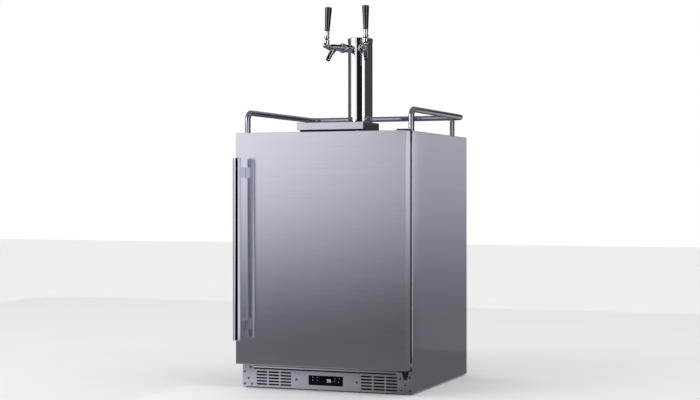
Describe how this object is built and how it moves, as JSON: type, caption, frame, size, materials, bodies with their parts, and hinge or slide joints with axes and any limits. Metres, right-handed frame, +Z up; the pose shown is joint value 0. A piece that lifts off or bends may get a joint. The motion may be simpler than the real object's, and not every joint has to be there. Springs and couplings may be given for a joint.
{
  "type": "kegerator",
  "caption": "Free-standing beer dispenser: stainless cabinet with a hinged door and bar handle, guard rail, drip tray and a tall tap tower on top, vented kick plate with a display.",
  "frame": {"origin": "on the floor, under the middle of the whole object's box", "axes": "+Z up; -Y the front, where the door is; +X to the right of someone facing the front"},
  "size_m": [0.6, 0.7226, 1.2832],
  "materials": {
    "door_steel": "satin",
    "side_steel": "satin",
    "trim_steel": "satin",
    "polished_steel": "polished",
    "chrome": "polished",
    "galvanised_steel": "matte",
    "black_steel": "satin",
    "display_glass": "gloss",
    "black_lacquer": "gloss",
    "black_plastic": "satin",
    "rubber": "matte",
    "white_plastic": "satin",
    "insulation": "matte",
    "aluminium": "satin",
    "brass": "satin",
    "clear_hose": "gloss",
    "red_hose": "satin"
  },
  "bodies": {
    "cabinet": {"back_panel": "galvanised_steel", "base_pan": "galvanised_steel", "beer_line_left": "clear_hose", "beer_line_right": "clear_hose", "cabinet_foam": "insulation", "compressor": "black_steel", "condenser": "aluminium", "condenser_fan_shroud": "black_plastic", "control_housing": "black_plastic", "coupling_nut_left": "chrome", "coupling_nut_right": "chrome", "display_window": "display_glass", "evaporator_cover": "white_plastic", "faucet_body_left": "chrome", "faucet_body_right": "chrome", "front_crossbar": "trim_steel", "gas_cylinder": "aluminium", "gas_line_left": "red_hose", "gas_line_right": "red_hose", "guard_rail": "polished_steel", "hinge_bracket_lower": "black_steel", "hinge_bracket_upper": "black_steel", "inner_liner": "white_plastic", "keg_coupler_left": "chrome", "keg_coupler_right": "chrome", "keg_floor_plate": "trim_steel", "kick_plate": "trim_steel", "power_inlet": "black_plastic", "regulator": "brass", "side_panel_left": "side_steel", "side_panel_right": "side_steel", "tap_shank_left": "chrome", "tap_shank_right": "chrome", "top_panel": "trim_steel", "tower_cap": "chrome", "tower_column": "chrome"},
    "door": {"door_skin": "door_steel", "door_foam": "insulation", "door_liner": "white_plastic", "door_gasket": "rubber", "door_handle": "polished_steel"},
    "tray": {"drip_tray": "trim_steel", "drip_tray_plinth": "rubber"},
    "grille": {"drip_grille": "trim_steel"},
    "tap_left": {"tap_lever_left": "chrome", "tap_handle_left": "black_lacquer"},
    "tap_right": {"tap_lever_right": "chrome", "tap_handle_right": "black_lacquer"},
    "valve_left": {"valve_shaft_left": "polished_steel"},
    "valve_right": {"valve_shaft_right": "polished_steel"},
    "machine_fan": {"condenser_fan": "black_plastic"},
    "room_fan": {"circulation_fan": "black_plastic"},
    "handwheel": {"cylinder_handwheel": "black_plastic"},
    "knob": {"regulator_knob": "black_plastic"},
    "foot_front_left": {"levelling_foot_front_left": "black_plastic"},
    "foot_front_right": {"levelling_foot_front_right": "black_plastic"},
    "foot_rear_left": {"levelling_foot_rear_left": "black_plastic"},
    "foot_rear_right": {"levelling_foot_rear_right": "black_plastic"},
    "coupler_handle_left": {"coupler_lever_left": "black_plastic"},
    "coupler_handle_right": {"coupler_lever_right": "black_plastic"}
  },
  "joints": [
    {"name": "door_hinge", "type": "hinge", "parent": "cabinet", "child": "door", "pos_m": [0.286, -0.26775, 0.083], "axis": [0, 0, 1], "range_deg": [0, 110]},
    {"name": "tray_lift", "type": "slide", "parent": "cabinet", "child": "tray", "axis": [0, 0, 1], "range_m": [0, 0.08]},
    {"name": "grille_lift", "type": "slide", "parent": "tray", "child": "grille", "axis": [0, 0, 1], "range_m": [0, 0.04]},
    {"name": "tap_left_pull", "type": "hinge", "parent": "cabinet", "child": "tap_left", "pos_m": [-0.07136, -0.05296, 1.169], "axis": [0.8829, -0.4695, 0], "range_deg": [0, 25]},
    {"name": "valve_left_travel", "type": "slide", "parent": "cabinet", "child": "valve_left", "axis": [0.4695, 0.8829, 0], "range_m": [0, 0.0075]},
    {"name": "tap_right_pull", "type": "hinge", "parent": "cabinet", "child": "tap_right", "pos_m": [0.07136, -0.05296, 1.169], "axis": [0.8829, 0.4695, 0], "range_deg": [0, 25]},
    {"name": "valve_right_travel", "type": "slide", "parent": "cabinet", "child": "valve_right", "axis": [-0.4695, 0.8829, 0], "range_m": [0, 0.0075]},
    {"name": "machine_fan_spin", "type": "hinge", "parent": "cabinet", "child": "machine_fan", "pos_m": [0.1249, 0.28715, 0.0698], "axis": [1, 0, 0], "continuous": true},
    {"name": "room_fan_spin", "type": "hinge", "parent": "cabinet", "child": "room_fan", "pos_m": [0.06, 0.29175, 0.665], "axis": [0, 1, 0], "continuous": true},
    {"name": "handwheel_turn", "type": "hinge", "parent": "cabinet", "child": "handwheel", "pos_m": [-0.18, 0.26095, 0.5926], "axis": [0, 0, 1], "range_deg": [0, 720]},
    {"name": "knob_turn", "type": "hinge", "parent": "cabinet", "child": "knob", "pos_m": [-0.121, 0.24395, 0.5716], "axis": [0, -1, 0], "range_deg": [0, 720]},
    {"name": "foot_front_left_height", "type": "slide", "parent": "cabinet", "child": "foot_front_left", "axis": [0, 0, -1], "range_m": [0, 0.02]},
    {"name": "foot_front_right_height", "type": "slide", "parent": "cabinet", "child": "foot_front_right", "axis": [0, 0, -1], "range_m": [0, 0.02]},
    {"name": "foot_rear_left_height", "type": "slide", "parent": "cabinet", "child": "foot_rear_left", "axis": [0, 0, -1], "range_m": [0, 0.02]},
    {"name": "foot_rear_right_height", "type": "slide", "parent": "cabinet", "child": "foot_rear_right", "axis": [0, 0, -1], "range_m": [0, 0.02]},
    {"name": "coupler_left_engage", "type": "hinge", "parent": "cabinet", "child": "coupler_handle_left", "pos_m": [0.045, 0.24525, 0.3006], "axis": [1, 0, 0], "range_deg": [0, 55]},
    {"name": "coupler_right_engage", "type": "hinge", "parent": "cabinet", "child": "coupler_handle_right", "pos_m": [0.15, 0.24525, 0.3006], "axis": [1, 0, 0], "range_deg": [0, 55]}
  ],
  "couplings": [
    {"joint": "valve_left_travel", "follows": "tap_left_pull", "m_per_rad": 0.0163},
    {"joint": "valve_right_travel", "follows": "tap_right_pull", "m_per_rad": 0.0163}
  ]
}
